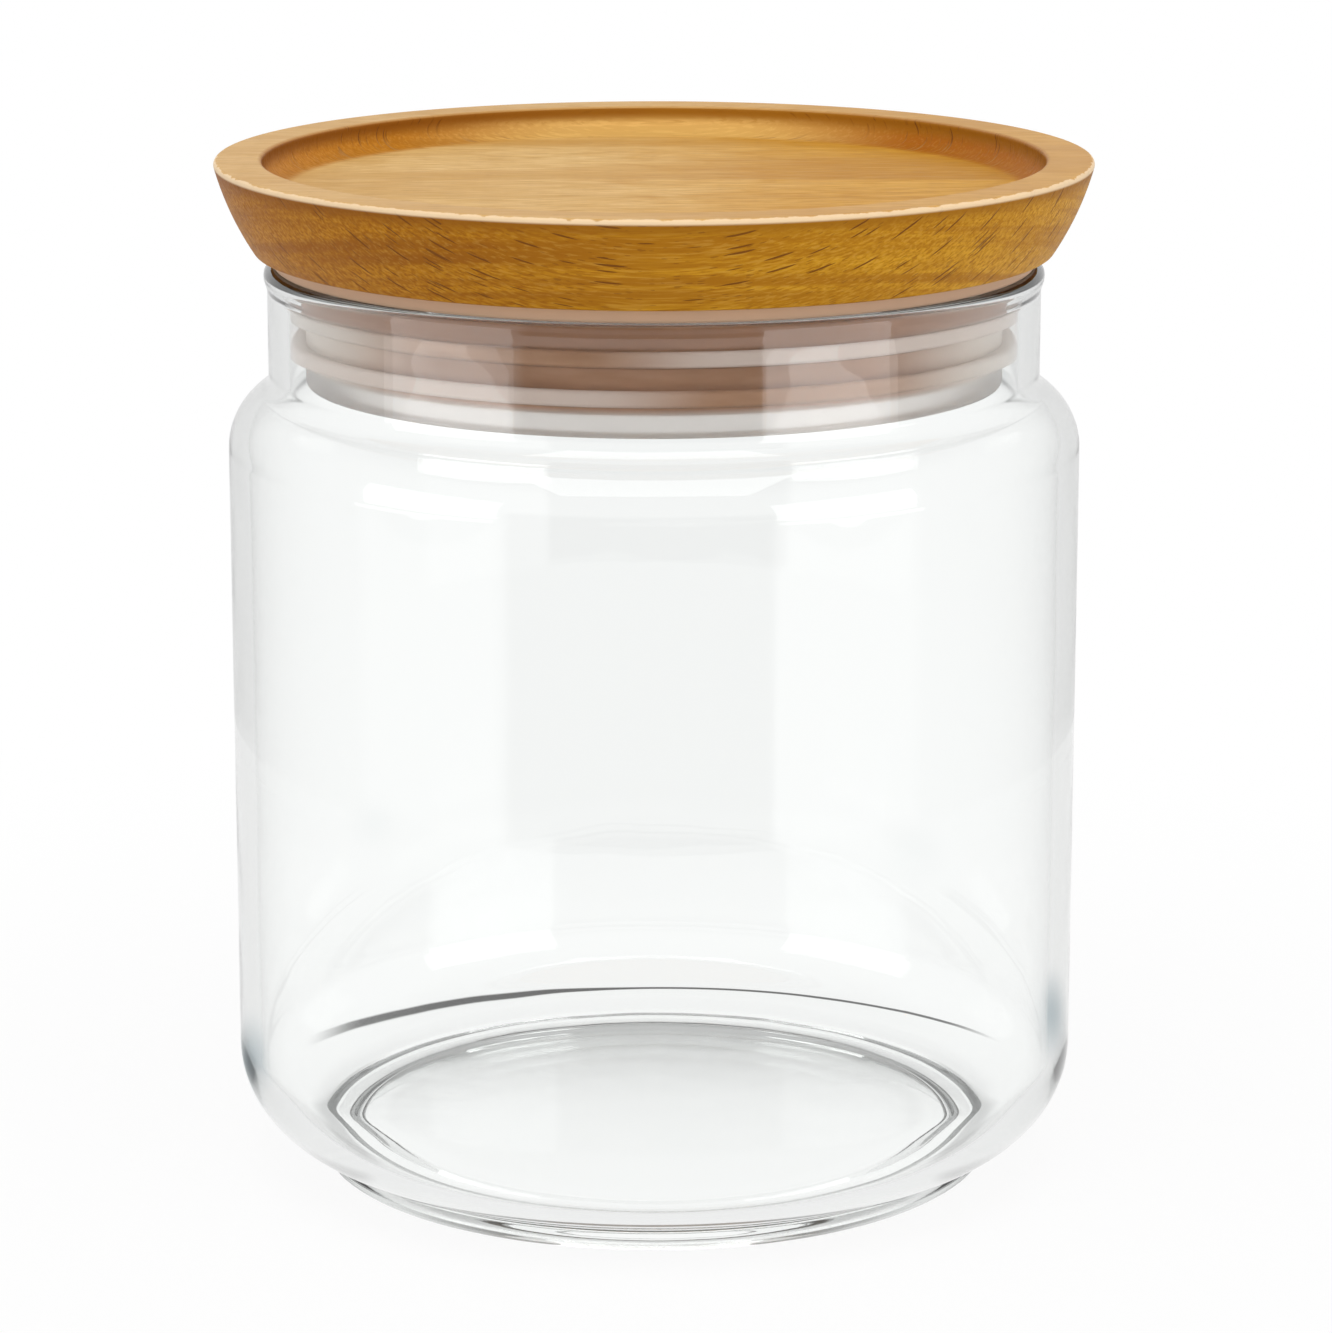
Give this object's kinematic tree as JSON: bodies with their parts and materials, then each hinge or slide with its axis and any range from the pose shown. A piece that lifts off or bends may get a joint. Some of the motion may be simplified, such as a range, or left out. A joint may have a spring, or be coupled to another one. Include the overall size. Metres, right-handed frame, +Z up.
{
  "type": "food canister",
  "caption": "Round glass food canister with a short neck and a foot ring, closed by a dished wooden push-in lid with a soft ring seal.",
  "frame": {"origin": "centre of the foot ring, on the plane that the jar stands on", "axes": "+Z up along the axis that every piece is turned about; the wood's grain runs along X, and -Y is the side that the picture shows"},
  "size_m": [0.1022, 0.1022, 0.1204],
  "materials": {
    "clear_glass": "clear polished soda-lime glass, faintly green at thick edges",
    "silicone": "translucent satin silicone, greyish mauve over the wood",
    "beech": "oiled beech with fine ray flecks, grain across the lid"
  },
  "bodies": {
    "jar": {"glass_jar": "clear_glass"},
    "seal": {"seal": "silicone"},
    "lid": {"wooden_lid": "beech"}
  },
  "joints": [
    {"name": "lid_lift", "type": "slide", "parent": "jar", "child": "seal", "axis": [0, 0, 1], "range_m": [0, 0.07]},
    {"name": "lid_turn", "type": "hinge", "parent": "seal", "child": "lid", "pos_m": [0, 0, 0.1], "axis": [0, 0, 1], "continuous": true}
  ]
}
